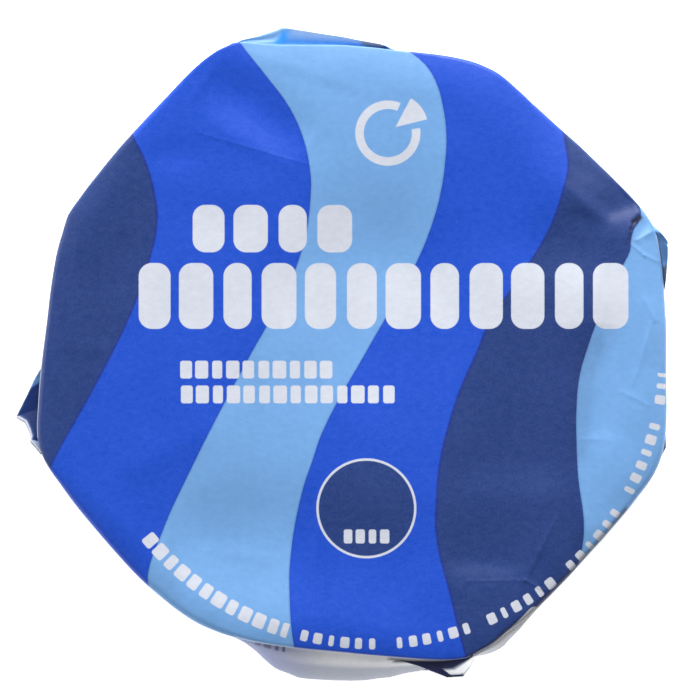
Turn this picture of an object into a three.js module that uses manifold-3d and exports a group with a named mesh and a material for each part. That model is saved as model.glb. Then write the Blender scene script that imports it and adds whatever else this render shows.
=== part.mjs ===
// A small wheel of soft cheese, shut in printed paper. The paper is folded down over an eight-sided
// edge, pleated at each corner, and gathered under the wheel in a pinwheel that a round label closes.
// It is one solid, in millimetres, +Z up, with its origin at the middle of the label on the underside.

import * as THREE from 'three';
import { ConvexGeometry } from 'three/addons/geometries/ConvexGeometry.js';
import { LoftGeometry } from 'three/addons/geometries/LoftGeometry.js';
import { mergeVertices } from 'three/addons/utils/BufferGeometryUtils.js';
import Module from 'manifold-3d';

// Driving dimensions of the pack
const packHeight = 25.4;
const shoulderRadius = 1.8; // the paper's bend over the upper rim of the wheel
const footRadius = 2.6; // and its looser bend under the lower rim
const faceSag = 0.35; // how far the middle of the face lies below its edge
const labelRadius = 17;

// Fold lines round the face: the direction each side faces, in degrees from +X, and its distance
// from the axis. The seventh is a short one that blunts the corner beside it.
const foldLines = [
  { facing: 0.4, distance: 41.7 },
  { facing: 45.9, distance: 40.7 },
  { facing: 86.1, distance: 40.7 },
  { facing: 138.0, distance: 41.9 },
  { facing: 173.7, distance: 41.95 },
  { facing: 217.3, distance: 42.8 },
  { facing: 236.4, distance: 43.2 },
  { facing: 264.7, distance: 40.85 },
  { facing: 317.2, distance: 41.75 },
];
const foldSharpness = 24; // a higher power makes straighter sides and crisper corners

// Corners of the edge, where the spare paper is pleated, in degrees from +X
const pleatCorners = [22, 65, 115, 155.5, 197.5, 246.5, 291, 340];
const pleatStep = 0.6; // how far a pleat stands above the paper that it lies on
const pleatStart = 1.5; // its width at the shoulder
const pleatSlant = 22.5; // the lean of its crease from the vertical, in degrees
const creaseWidth = 0.25; // the ground that the step at the crease takes
const stepEase = 3; // how far down the wall the step takes to grow

// Underside: the flaps' creases swing round towards the label
const underStep = 0.4; // the step from each flap to the next
const underRise = 0.15; // the flaps lie this much above the label's face
const underSwing = 1.6; // degrees for each millimetre inwards

// Where the paper stands off the fold line as a lip with a valley behind it: direction, stand-off
const rimLips = [
  [[81.4, 0], [83.2, 0.3], [84.8, 0.8], [95.8, 1.6], [102.9, 2.1], [108.4, 0.75], [113, 0]],
  [[7, 0], [9.7, 0.1], [15.1, 0.55], [19.5, 1.15], [24, 0]],
  [[340.5, 0], [342.5, 0.35], [346, 0]],
];
const fullLip = 0.6; // a lip that stands off this far has its whole valley
const lipFoot = 12.5; // the height at which it has died away down the wall
// The lip's outer edge, its crest and the valley behind it: each one's height from the shoulder and
// its part of the stand-off, and how far down the plain wall it lies where there is no lip
const lipProfile = [
  { lipHeight: 0, lipReach: 1, plainDrop: 1.9 },
  { lipHeight: 0.7, lipReach: 0.85, plainDrop: 1.2 },
  { lipHeight: -1.1, lipReach: 0.3, plainDrop: 0.6 },
];

// Where the wall swells out below the fold line: direction, stand-off
const wallSwells = [
  [[246.5, 0], [248.3, 0.6], [251.8, 1.8], [256.1, 3.8], [260.1, 4.65], [269, 4.2], [275.6, 3.4],
    [282, 2], [286, 1], [290, 0]],
  [[292.5, 0], [296.5, 1], [300.5, 1], [304.5, 0.4], [308, 0]],
];

const swellPower = 0.8; // under 1 lifts the swell and makes it fuller

// Loose ears of paper at two pleats: their points in the wall, and their free points
const paperEars = [
  { root: [[-42.4, -13.6, 21], [-42.3, -2.2, 4]], free: [[-46.6, -9.05, 11], [-43.9, -12.3, 17]] },
  { root: [[4.7, -41.3, 23.6], [14.6, -41.4, 23.6]], free: [[12.2, -44.35, 19.6], [14.5, -44.2, 18.6]] },
];
const earThickness = 0.6;
const earRoot = 1.6; // how far an ear runs on inside the wall

// Grid of the faceted surface
const panelColumns = 9; // from a corner to the next pleat's crease
const pleatColumns = 3; // from the crease to the pleat's corner
const arcSteps = 4; // round the shoulder and the foot
const wallHeights = [5.5, 9, 12.5, 16, 19.5];
const underRings = [0.53, 0.67, 0.82]; // as parts of the fold line's reach
const faceRings = [0.86, 0.66, 0.42, 0.18, 0]; // as parts of the flat face's reach
const labelEdge = 0.3; // the ground that the step at the label's rim takes

const fullTurn = 360;
const wallTop = packHeight - shoulderRadius;
const meanReach = foldLines.reduce((sum, side) => sum + side.distance, 0) / foldLines.length;
const quarterTurn = Array.from({ length: arcSteps + 1 }, (_, i) => (i / arcSteps) * (Math.PI / 2));
const radians = THREE.MathUtils.degToRad;
const lerp = THREE.MathUtils.lerp;

// How far the fold line lies from the axis in a direction: all the sides, blended at the corners
function foldReach(direction) {
  let sum = 0;
  for (const side of foldLines) {
    const along = Math.cos(radians(direction - side.facing));
    if (along > 0) sum += (along / side.distance) ** foldSharpness;
  }
  return sum ** (-1 / foldSharpness);
}

// The value of a curve given by points, nothing outside them
function curveAt(points, direction) {
  for (let i = 1; i < points.length; i++) {
    const [start, startValue] = points[i - 1];
    const [end, endValue] = points[i];
    if (direction >= start && direction <= end) {
      return lerp(startValue, endValue, (direction - start) / (end - start));
    }
  }
  return 0;
}

function standOff(curves, direction) {
  const angle = THREE.MathUtils.euclideanModulo(direction, fullTurn);
  return curves.reduce((sum, points) => sum + curveAt(points, angle), 0);
}

// The swell of the wall at a height: nothing at the shoulder and the foot, and whole a little above
// the middle
function swellPart(height) {
  const down = THREE.MathUtils.clamp((wallTop - height) / wallTop, 0, 1);
  return Math.sin(Math.PI * down ** swellPower) ** swellPower;
}

// Columns of one side, from its corner to the next: which lie on the pleat, and how far along their
// panel or pleat they are
function sideColumns() {
  const columns = [];
  for (let i = 0; i <= panelColumns; i++) columns.push({ onPleat: false, part: i / panelColumns });
  for (let i = 0; i < pleatColumns; i++) columns.push({ onPleat: true, part: i / pleatColumns });
  return columns;
}

// The direction of a column where the paper has run down so far from the shoulder. Each crease
// starts by its corner and leans away from it, and the next panel runs under it.
function columnDirection(side, column, run) {
  const start = pleatCorners[side];
  const next = pleatCorners[(side + 1) % pleatCorners.length];
  const end = next > start ? next : next + fullTurn;
  const degreesPerMm = fullTurn / (2 * Math.PI * foldReach(end));
  const pleatWidth = pleatStart + run * Math.tan(radians(pleatSlant));
  const crease = end - pleatWidth * degreesPerMm;
  if (column.onPleat) return lerp(crease, end, column.part);
  return lerp(start, crease - creaseWidth * degreesPerMm, column.part);
}

// How much of a pleat's step has grown at a height on the wall
function stepPart(height) {
  return THREE.MathUtils.smoothstep(wallTop - height, 0, stepEase);
}

// The rings of the surface, in five groups. A ring has the height that sets its pleats' lean, how far
// inwards it lies on the underside, and a function that gives its radius and height at a column from
// the fold line's reach, the lip's and the swell's stand-off, and the depth under a pleat.
function undersideRings() {
  const flapHeight = (under) => underRise + underStep * under;
  const labelInwards = meanReach - labelRadius;
  const rings = [
    { height: 0, inwards: labelInwards, place: () => [labelRadius, 0] },
    { height: 0, inwards: labelInwards, place: ({ under }) => [labelRadius + labelEdge, flapHeight(under)] },
  ];
  for (const part of underRings) {
    const place = ({ reach, under }) => [reach * part, flapHeight(under)];
    rings.push({ height: 0, inwards: meanReach * (1 - part), place });
  }
  return rings;
}

function footRings() {
  return quarterTurn.map((angle) => {
    const out = Math.sin(angle);
    const down = Math.cos(angle);
    const height = footRadius * (1 - down);
    const place = ({ reach, swell, under }) => {
      const depth = lerp(underStep, pleatStep, out) * under;
      const swollen = reach + swell * swellPart(height) * out;
      return [swollen - footRadius * (1 - out) - depth * out, height + (underRise + depth) * down];
    };
    return { height, inwards: footRadius * (1 - out), place };
  });
}

function wallRings() {
  return wallHeights.map((height) => {
    const lipPart = THREE.MathUtils.smoothstep(height, lipFoot, packHeight);
    const place = ({ reach, lip, swell, under }) => {
      const standing = swell * swellPart(height) + lip * lipPart;
      return [reach + standing - pleatStep * under * stepPart(height), height];
    };
    return { height, inwards: 0, place };
  });
}

function lipRings() {
  return lipProfile.map(({ plainDrop, lipHeight, lipReach }) => {
    const plain = wallTop - plainDrop;
    const place = ({ reach, lip, swell, under }) => {
      const standing = swell * swellPart(plain) + lip * lipReach;
      const whole = THREE.MathUtils.smoothstep(lip, 0, fullLip);
      const height = lerp(plain, wallTop + lipHeight, whole);
      return [reach + standing - pleatStep * under * stepPart(plain), height];
    };
    return { height: plain, inwards: 0, place };
  });
}

function topRings() {
  const shoulder = quarterTurn.map((angle) => ({ reach }) => [
    reach - shoulderRadius * (1 - Math.cos(angle)), wallTop + shoulderRadius * Math.sin(angle)]);
  const face = faceRings.map((part) => ({ reach }) => [
    (reach - shoulderRadius) * part, packHeight - faceSag * (1 - part * part)]);
  return [...shoulder, ...face].map((place) => ({ height: wallTop, inwards: 0, place }));
}

function wrappedWheel() {
  const columns = sideColumns();
  const rings = [...undersideRings(), ...footRings(), ...wallRings(), ...lipRings(), ...topRings()];
  const sections = rings.map((ring) => {
    const section = [];
    for (let side = 0; side < pleatCorners.length; side++) {
      for (const column of columns) {
        const swing = underSwing * ring.inwards;
        const direction = columnDirection(side, column, wallTop - ring.height) - swing;
        const [radius, height] = ring.place({
          reach: foldReach(direction),
          lip: standOff(rimLips, direction),
          swell: standOff(wallSwells, direction),
          under: column.onPleat ? 0 : column.part,
        });
        const angle = radians(direction);
        section.push(new THREE.Vector3(radius * Math.cos(angle), radius * Math.sin(angle), height));
      }
    }
    return section;
  });
  return new LoftGeometry(sections, { capStart: true });
}

// A stiff flat piece of doubled paper whose root runs on inside the wall
function paperEar({ root, free }) {
  const rootPoints = root.map((point) => new THREE.Vector3(...point));
  const freePoints = free.map((point) => new THREE.Vector3(...point));
  const inner = rootPoints.map((point) => {
    const inwards = new THREE.Vector3(point.x, point.y, 0).setLength(earRoot);
    return point.clone().sub(inwards);
  });
  const plane = new THREE.Plane().setFromCoplanarPoints(rootPoints[0], rootPoints[1], freePoints[0]);
  const half = plane.normal.clone().multiplyScalar(earThickness / 2);
  const corners = [...inner, ...rootPoints, ...freePoints];
  return new ConvexGeometry(corners.flatMap((point) => [point.clone().add(half), point.clone().sub(half)]));
}

const wasm = await Module();
wasm.setup();

// A solid from a closed surface: its shared points are merged, and the triangles that have shrunk to
// nothing where a ring closes to a point are left out
function toSolid(geometry) {
  const surface = new THREE.BufferGeometry();
  surface.setAttribute('position', geometry.getAttribute('position'));
  surface.setIndex(geometry.index);
  const merged = mergeVertices(surface);
  const corners = [];
  for (let i = 0; i < merged.index.count; i += 3) {
    const triangle = [0, 1, 2].map((k) => merged.index.getX(i + k));
    if (new Set(triangle).size === 3) corners.push(...triangle);
  }
  return new wasm.Manifold(new wasm.Mesh({
    numProp: 3,
    vertProperties: merged.getAttribute('position').array,
    triVerts: Uint32Array.from(corners),
  }));
}

function toGeometry(solid) {
  const mesh = solid.getMesh();
  const geometry = new THREE.BufferGeometry();
  geometry.setAttribute('position', new THREE.BufferAttribute(mesh.vertProperties, 3));
  geometry.setIndex(new THREE.BufferAttribute(mesh.triVerts, 1));
  geometry.computeVertexNormals();
  return geometry;
}

const wrapped = paperEars.reduce((solid, ear) => solid.add(toSolid(paperEar(ear))), toSolid(wrappedWheel()));

const printedPaper = new THREE.MeshStandardMaterial({ color: 0x2d56cf, roughness: 0.42, metalness: 0 });
const cheese = new THREE.Mesh(toGeometry(wrapped), printedPaper);
cheese.name = 'wrapped_camembert';

const pack = new THREE.Group();
pack.add(cheese);

export default pack;
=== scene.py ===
import math

import bmesh
import bpy
from mathutils import Matrix, Vector, noise


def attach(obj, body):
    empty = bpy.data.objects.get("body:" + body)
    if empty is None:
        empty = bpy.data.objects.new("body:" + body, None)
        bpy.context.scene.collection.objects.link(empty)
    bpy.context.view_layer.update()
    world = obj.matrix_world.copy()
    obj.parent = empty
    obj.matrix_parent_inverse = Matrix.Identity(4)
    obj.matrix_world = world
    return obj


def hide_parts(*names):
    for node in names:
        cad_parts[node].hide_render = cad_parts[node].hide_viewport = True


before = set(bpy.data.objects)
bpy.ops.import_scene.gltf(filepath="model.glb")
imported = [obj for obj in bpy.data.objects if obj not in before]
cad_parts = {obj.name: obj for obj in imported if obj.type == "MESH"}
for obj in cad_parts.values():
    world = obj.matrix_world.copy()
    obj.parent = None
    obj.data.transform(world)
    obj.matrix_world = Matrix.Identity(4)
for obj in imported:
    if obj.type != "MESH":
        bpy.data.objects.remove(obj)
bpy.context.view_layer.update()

solidName = "wrapped_camembert"
bodyName = "root"
mm = 0.001
fullTurn = 360


def lerp(start, end, part):
    return start + (end - start) * part


def clampPart(value):
    return min(max(value, 0), 1)


def smoothPart(value, low, high):
    part = clampPart((value - low) / (high - low))
    return part * part * (3 - 2 * part)


def splineValue(knots, place):
    # a smooth curve through the knots, one knot for each whole number of place
    i = min(int(place), len(knots) - 2)
    part = place - i
    rest = 1 - part
    before, start, end, after = [knots[min(max(i + step, 0), len(knots) - 1)] for step in (-1, 0, 1, 2)]
    pull = (end - before) * 0.5 * part * rest * rest
    push = (after - start) * 0.5 * part * part * rest
    return lerp(start, end, smoothPart(part, 0, 1)) + pull - push


def heading(direction):
    # a direction as a vector of length 1
    angle = math.radians(direction)
    return Vector((math.cos(angle), math.sin(angle)))


def axesAt(facing):
    # the directions out and across for something that faces a way
    return heading(facing), heading(facing + fullTurn / 4)


def meshFrom(bm, name):
    mesh = bpy.data.meshes.new(name)
    bm.to_mesh(mesh)
    bm.free()
    return mesh


def addObject(name, data):
    made = bpy.data.objects.new(name, data)
    bpy.context.collection.objects.link(made)
    return made


def finishPiece(mesh, name, materials, isSmooth=True):
    piece = addObject(name, mesh)
    for material in materials:
        mesh.materials.append(material)
    for polygon in mesh.polygons:
        polygon.use_smooth = isSmooth
    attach(piece, bodyName)
    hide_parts(solidName)
    return piece


# Materials

def linearColour(hexColour):
    channels = [int(hexColour[i:i + 2], 16) / 255 for i in (1, 3, 5)]
    return [c / 12.92 if c <= 0.04045 else ((c + 0.055) / 1.055) ** 2.4 for c in channels] + [1]


def addNode(tree, kind, settings, inputs, output=0):
    made = tree.nodes.new(kind)
    for name, value in settings.items():
        setattr(made, name, value)
    for name, value in inputs.items():
        if isinstance(value, bpy.types.NodeSocket):
            tree.links.new(value, made.inputs[name])
        else:
            made.inputs[name].default_value = value
    return made.outputs[output]


def emptyMaterial(name):
    material = bpy.data.materials.new(name)
    material.use_nodes = True
    tree = material.node_tree
    shader = next(node for node in tree.nodes if node.type == "BSDF_PRINCIPLED")
    return material, tree, shader


# The print, in millimetres on the flat sheet, with the middle of the face at 0, 0. Each border between
# two stripes is a curve of x at y.
printing = {
    "navy": "#223f82",
    "royal": "#1751d1",
    "light": "#78ade8",
    "white": "#dadfec",
    "field": "#f2f4f8",
    # painted shade: the grey that a white field turns to further down the wall
    "fieldPaintedShade": "#aeb4c4",
    "fieldTint": "#8490be",
    # painted light: the bright blue standing in for light that comes through the thin paper of a lip
    "azure": "#38a0ff",
    # painted shade: the near-black laid into a fold's depths, a lip's pocket, the creases and the ears
    "shadeColour": "#131534",
    "overprint": "#182d88",
    "fineInk": "#5a608c",
    "reach": 95,
    "borders": [
        ["royal", [(-95, -84), (-60, -92), (-20, -78), (20, -72), (60, -80), (95, -76)]],
        ["navy", [(-95, -66), (-55, -74), (-25, -66), (5, -57), (25, -56), (55, -64), (95, -60)]],
        ["light", [(-95, -58), (-60, -64), (-36, -57), (-18, -48), (-4, -43.8), (8, -43), (20, -43.6),
                   (34, -46), (55, -52), (95, -46)]],
        ["navy", [(-95, -44), (-60, -53), (-40, -50), (-27, -46.5), (-15.1, -41), (-6.1, -36), (0, -32.8),
                   (5.1, -30.4), (11.3, -28.2), (17.7, -26.9), (21.3, -27.3), (25.5, -28.5),
                   (28.9, -30.2), (38, -35), (60, -41), (95, -32)]],
        ["royal", [(-95, -10), (-60, -19), (-45, -26.5), (-31.1, -28.2), (-24.4, -26.1), (-15.7, -22.1),
                   (-7.6, -18), (0, -13.9), (3.9, -11.7), (12.6, -7.6), (21.3, -6.1), (25, -6.3),
                   (29.4, -7.4), (33.1, -9.2), (37.1, -12.2), (41.6, -15.7), (52, -22), (70, -24),
                   (95, -12)]],
        ["light", [(-95, -2), (-60, -2), (-48, -6.2), (-39.8, -8.4), (-32.5, -9), (-28.4, -8.9),
                   (-19.6, -7.4), (-14.5, -5.75), (-11.2, -4.6), (0, 1.5), (5.4, 4.6), (11.9, 8.2),
                   (17.7, 10.5), (21.6, 11.5), (25, 12), (29, 12.2), (33.1, 11.7), (36.2, 10.8),
                   (38.5, 9.4), (40.2, 7.4), (43, 3), (50, -3), (70, -6), (95, 6)]],
        ["royal", [(-95, 20), (-60, 21.5), (-50, 18.4), (-41.6, 15.0), (-33.5, 12.9), (-25, 10.9),
                   (-20.5, 10.9), (-15.1, 11.4), (-10, 12.6), (-4.9, 14.3), (0, 16.5), (3.2, 17.8),
                   (11.1, 23.0), (14.2, 25.0), (18.1, 26.9), (21.3, 27.9), (24.7, 28.7), (27.7, 28.4),
                   (30, 27.9), (38, 23), (55, 17), (95, 26)]],
        ["navy", [(-95, 32), (-60, 31), (-42, 28.5), (-29, 30.2), (-24.2, 30.8), (-16.9, 30),
                   (-12.7, 29.8), (-7.8, 29.8), (-3.6, 30.2), (0, 31.2), (4.7, 32.9), (11.9, 36.3),
                   (13.3, 37.0), (15.1, 37.2), (16.4, 37.6), (17.6, 38.4), (19.5, 38.6), (28, 41),
                   (45, 39), (70, 33), (95, 40)]],
        ["light", [(-95, 52), (-60, 50), (-36, 46), (-18, 43.6), (-10, 42.7), (-2, 42.5), (5, 42.6),
                   (9, 43.2), (11.5, 46), (14, 51), (20, 53), (30, 54), (50, 52), (95, 58)]],
        ["navy", [(-95, 66), (-50, 62), (-20, 56.5), (0, 57), (15, 62), (30, 66), (60, 63), (95, 70)]],
        ["royal", [(-95, 84), (-50, 78), (-20, 74), (0, 76), (20, 82), (60, 80), (95, 88)]],
    ],
    "lastStripe": "light",
    # the line where two inks overlap along a border, and how strong it is between two dark inks and
    # beside the light one
    "lineWidth": 0.34,
    "darkLine": 0.75,
    "paleLine": 0.22,
}


# Plain bars in rows and arcs, a round mark, and a wheel in outline with a wedge drawn out of it
marks = {
    "softEdge": 0.1,
    # a row's middle, its length and height, and its bars: how far apart they start, how long one is, how
    # much that changes along the row, and how round the corners are
    "rows": [
        ((-11.4, 16.4), (22.7, 6.4), (5.68, 4.3, 0.5, 1.7)),
        ((3.6, 7.3), (67.2, 8.9), (5.6, 4.3, 0.5, 1.8)),
        ((-13.5, -2.65), (21, 2.4), (2.1, 1.6, 0.25, 0.35)),
        ((-9.2, -6.0), (29.4, 2.4), (2.1, 1.6, 0.25, 0.35)),
        ((1.4, -25.2), (6.6, 1.9), (1.65, 1.15, 0.15, 0.3)),
    ],
    "arcMiddle": (2.3, -0.4),
    "arcRadius": 39.3,
    # where an arc starts and ends, its height, its bars, and of how many bars one is left out
    "arcs": [
        (218.6, 253, 2.0, (2.05, 1.55, 0.25, 0.35), 0),
        (255, 356, 1.5, (1.85, 1.0, 0.3, 0.3), 7),
    ],
    "changeTurn": 2.4,  # radians from one bar's change of length to the next one's
    "roundMark": {"middle": (1.4, -21.4), "radius": 6.6, "ring": 0.32},
    "wheel": {"middle": (4.3, 29.3), "radius": 4.4, "stroke": 1.15},
    "wedge": {"facing": 38, "half": 24, "gap": 5, "out": 1.3},
    "fieldCorner": 0.8,
    "fineBars": (1.3, 0.85, 0.3, 0.2),
    "fineGaps": (5, 6, 7),  # for one row after the other
}

# The sides of the wrap that are left white: the middle of each field in its side's own frame, its size,
# where painted shade turns it greyer on its way down, where a lilac tint fades out across it, and its rows
# of fine marks: how far out, where they start, how long and how high
whiteFields = [
    {"facing": 264.7, "middle": (57.8, 0.3), "size": (33.5, 36), "paintedShade": (42.0, 44.0), "tint": (-10, 2),
     "rows": [(41.35, -10.2, 4.4, 0.6), (53.4, -14, 27, 0.9), (55.4, -14, 23, 0.9), (57.4, -14, 27, 0.9),
              (59.4, -14, 23, 0.9)]},
    {"facing": 317.2, "middle": (58.7, -15.2), "size": (35.4, 12.6), "paintedShade": (42.0, 46.0), "tint": None,
     "rows": []},
]

# Fine creases pressed into the coating: start, end, width, height and how dark the painted shade along the
# crease is
fineCreases = [
    ((-21.1, 29.3), (-6.2, 25.0), 0.5, 0.03, 0),
    ((38.3, 17.9), (37.6, 17.3), 0.7, -0.08, 0.85),
    ((37.6, 17.3), (37.15, 16.3), 0.5, -0.06, 0.55),
    ((37.15, 16.3), (36.9, 14.9), 0.4, -0.05, 0.35),
    ((32.3, 0.6), (30.9, -3.5), 2.8, -0.04, 0.17),
    ((30.9, -3.5), (29.9, -13.5), 2.6, -0.04, 0.15),
    ((37.3, 14.2), (39.0, 12.8), 0.6, 0.07, 0),
    ((39.0, 12.8), (41.0, 11.9), 0.6, 0.07, 0),
    ((39.0, 6.8), (40.4, 4.0), 0.7, 0.05, 0),
    ((40.2, 4.2), (37.5, -4.6), 0.8, 0.05, 0),
    ((35.9, -5.6), (39.4, -7.4), 0.7, 0.04, 0),
    ((26.9, -23.0), (22.9, -31.1), 0.7, 0.05, 0),
    ((22.9, -31.1), (15.0, -31.2), 0.5, 0.03, 0),
    ((22.9, -31.1), (25.4, -32.4), 0.5, 0.06, 0),
]

# how steeply a crease falls away, and how much wider its line of painted shade is than its crest
creaseForm = {"power": 1.6, "shadeSpread": 1.8}

# The sheet's own grain: its fibres, about a millimetre long and a little longer along x, its finer tooth,
# and broad clouds. Each noise has its scale, detail and roughness.
grain = {
    "stretch": (0.9, 1.25, 1.0),
    "fibres": (1.0, 3, 0.6),
    "tooth": (3.2, 2, 0.5),
    "clouds": (0.11, 3, 0.5),
    "toneChange": 0.035,  # how much lighter or darker it gets
    "glow": 0.007,
    "roughChange": 0.04,
    "fibreRelief": 0.7,  # where the tooth has 1
    "strength": 0.35,
    "depth": 0.03,
    "refraction": 1.5,
    "coatedRoughness": (0.42, 0.52),
    "bareRoughness": (0.6, 0.75),
    "bareColour": "#d3d6e0",
}


def softMask(tree, distance, width=marks["softEdge"]):
    # 1 where the distance is below 0, with an edge of the given width
    return addNode(tree, "ShaderNodeMath", {"operation": "MULTIPLY_ADD", "use_clamp": True},
                   {0: distance, 1: -1 / width, 2: 0.5})


def lineMask(tree, distance, place, stroke, width=marks["softEdge"]):
    # a line drawn where the distance has a value
    off = addNode(tree, "ShaderNodeMath", {"operation": "SUBTRACT"}, {0: distance, 1: place})
    off = addNode(tree, "ShaderNodeMath", {"operation": "ABSOLUTE"}, {0: off})
    past = addNode(tree, "ShaderNodeMath", {"operation": "SUBTRACT"}, {0: off, 1: stroke / 2})
    return softMask(tree, past, width)


def joinMasks(tree, operation, masks):
    # MAXIMUM joins all that the masks hold, and MULTIPLY keeps what every one of them holds
    joined = masks[0]
    for mask in masks[1:]:
        joined = addNode(tree, "ShaderNodeMath", {"operation": operation}, {0: joined, 1: mask})
    return joined


def paint(tree, under, over, mask):
    return addNode(tree, "ShaderNodeMix", {"data_type": "RGBA"}, {0: mask, 6: under, 7: over}, output=2)


def turnedPlace(tree, place, middle, facing):
    # how far a place lies from a point, along a direction and across it
    offset = addNode(tree, "ShaderNodeVectorMath", {"operation": "SUBTRACT"}, {0: place, 1: (*middle, 0)})
    return [addNode(tree, "ShaderNodeVectorMath", {"operation": "DOT_PRODUCT"},
                    {0: offset, 1: (*axis, 0)}, output=1) for axis in axesAt(facing)]


def distanceFrom(tree, place, middle):
    return addNode(tree, "ShaderNodeVectorMath", {"operation": "DISTANCE"},
                   {0: place, 1: (*middle, 0)}, output=1)


def roundedBox(tree, along, across, halfLength, halfWidth, corner):
    # distance from the edge of a bar with round corners
    point = addNode(tree, "ShaderNodeCombineXYZ", {}, {0: along, 1: across})
    point = addNode(tree, "ShaderNodeVectorMath", {"operation": "ABSOLUTE"}, {0: point})
    half = addNode(tree, "ShaderNodeCombineXYZ", {}, {0: halfLength, 1: halfWidth})
    past = addNode(tree, "ShaderNodeVectorMath", {"operation": "SUBTRACT"}, {0: point, 1: half})
    past = addNode(tree, "ShaderNodeVectorMath", {"operation": "ADD"}, {0: past, 1: (corner, corner, 0)})
    past = addNode(tree, "ShaderNodeVectorMath", {"operation": "MAXIMUM"}, {0: past, 1: (0, 0, 0)})
    length = addNode(tree, "ShaderNodeVectorMath", {"operation": "LENGTH"}, {0: past}, output=1)
    return addNode(tree, "ShaderNodeMath", {"operation": "SUBTRACT"}, {0: length, 1: corner})


def barRow(tree, along, across, size, bars, gapEvery=0):
    # bars along a line: along runs from 0 to the row's length, and across is 0 on its middle line
    length, height = size
    pitch, bar, change, corner = bars
    cell = addNode(tree, "ShaderNodeMath", {"operation": "DIVIDE"}, {0: along, 1: pitch})
    number = addNode(tree, "ShaderNodeMath", {"operation": "FLOOR"}, {0: cell})
    inCell = addNode(tree, "ShaderNodeMath", {"operation": "SUBTRACT"}, {0: cell, 1: number})
    fromMiddle = addNode(tree, "ShaderNodeMath", {"operation": "MULTIPLY_ADD"},
                         {0: inCell, 1: pitch, 2: -pitch / 2})
    turn = addNode(tree, "ShaderNodeMath", {"operation": "MULTIPLY"}, {0: number, 1: marks["changeTurn"]})
    wave = addNode(tree, "ShaderNodeMath", {"operation": "SINE"}, {0: turn})
    half = addNode(tree, "ShaderNodeMath", {"operation": "MULTIPLY_ADD"},
                   {0: wave, 1: change / 2, 2: bar / 2})
    masks = [softMask(tree, roundedBox(tree, fromMiddle, across, half, height / 2, corner)),
             addNode(tree, "ShaderNodeMath", {"operation": "GREATER_THAN"}, {0: along, 1: 0}),
             addNode(tree, "ShaderNodeMath", {"operation": "LESS_THAN"}, {0: along, 1: length})]
    if gapEvery:
        # the last bar of each group is left out
        inGroup = addNode(tree, "ShaderNodeMath", {"operation": "MODULO"}, {0: number, 1: gapEvery})
        masks.append(addNode(tree, "ShaderNodeMath", {"operation": "LESS_THAN"},
                             {0: inGroup, 1: gapEvery - 1.5}))
    return joinMasks(tree, "MULTIPLY", masks)


def stripePrint(tree, x, y):
    reach, borders = printing["reach"], printing["borders"]
    height = addNode(tree, "ShaderNodeMath", {"operation": "MULTIPLY_ADD", "use_clamp": True},
                     {0: y, 1: 0.5 / reach, 2: 0.5})
    stripes = [stripe for stripe, points in borders] + [printing["lastStripe"]]
    colour = linearColour(printing[stripes[0]])
    lines = []
    for (stripe, points), after in zip(borders, stripes[1:]):
        curve = addNode(tree, "ShaderNodeFloatCurve", {}, {1: height})
        mapping = curve.node.mapping
        mapping.use_clip = False
        places = [((py + reach) / (2 * reach), (px + reach) / (2 * reach)) for py, px in points]
        bend = mapping.curves[0]
        bend.points[0].location = places[0]
        bend.points[1].location = places[-1]
        for place in places[1:-1]:
            bend.points.new(*place)
        mapping.update()
        border = addNode(tree, "ShaderNodeMath", {"operation": "MULTIPLY_ADD"},
                         {0: curve, 1: 2 * reach, 2: -reach})
        past = addNode(tree, "ShaderNodeMath", {"operation": "SUBTRACT"}, {0: border, 1: x})
        colour = paint(tree, colour, linearColour(printing[after]), softMask(tree, past))
        line = lineMask(tree, past, 0, printing["lineWidth"], marks["softEdge"] * 2)
        strength = printing["paleLine" if "light" in (stripe, after) else "darkLine"]
        lines.append(addNode(tree, "ShaderNodeMath", {"operation": "MULTIPLY"}, {0: line, 1: strength}))
    return paint(tree, colour, linearColour(printing["overprint"]), joinMasks(tree, "MAXIMUM", lines))


def wedgeMask(tree, along, across, half):
    # 1 inside the wedge that opens from the middle along its own direction
    edge = addNode(tree, "ShaderNodeMath", {"operation": "ABSOLUTE"}, {0: across})
    past = addNode(tree, "ShaderNodeMath", {"operation": "MULTIPLY_ADD"},
                   {0: along, 1: -math.tan(math.radians(half)), 2: edge})
    return softMask(tree, past)


def wheelMasks(tree, place):
    wheel, wedge = marks["wheel"], marks["wedge"]
    middle, radius, stroke = Vector(wheel["middle"]), wheel["radius"], wheel["stroke"]
    ring = lineMask(tree, distanceFrom(tree, place, middle), radius - stroke / 2, stroke)
    cut = wedgeMask(tree, *turnedPlace(tree, place, middle, wedge["facing"]), wedge["half"] + wedge["gap"])
    ring = addNode(tree, "ShaderNodeMath", {"operation": "SUBTRACT", "use_clamp": True}, {0: ring, 1: cut})
    tip = middle + wedge["out"] * heading(wedge["facing"])
    sides = wedgeMask(tree, *turnedPlace(tree, place, tip, wedge["facing"]), wedge["half"])
    past = addNode(tree, "ShaderNodeMath", {"operation": "SUBTRACT"},
                   {0: distanceFrom(tree, place, tip), 1: radius})
    return [ring, joinMasks(tree, "MULTIPLY", [sides, softMask(tree, past)])]


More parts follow.
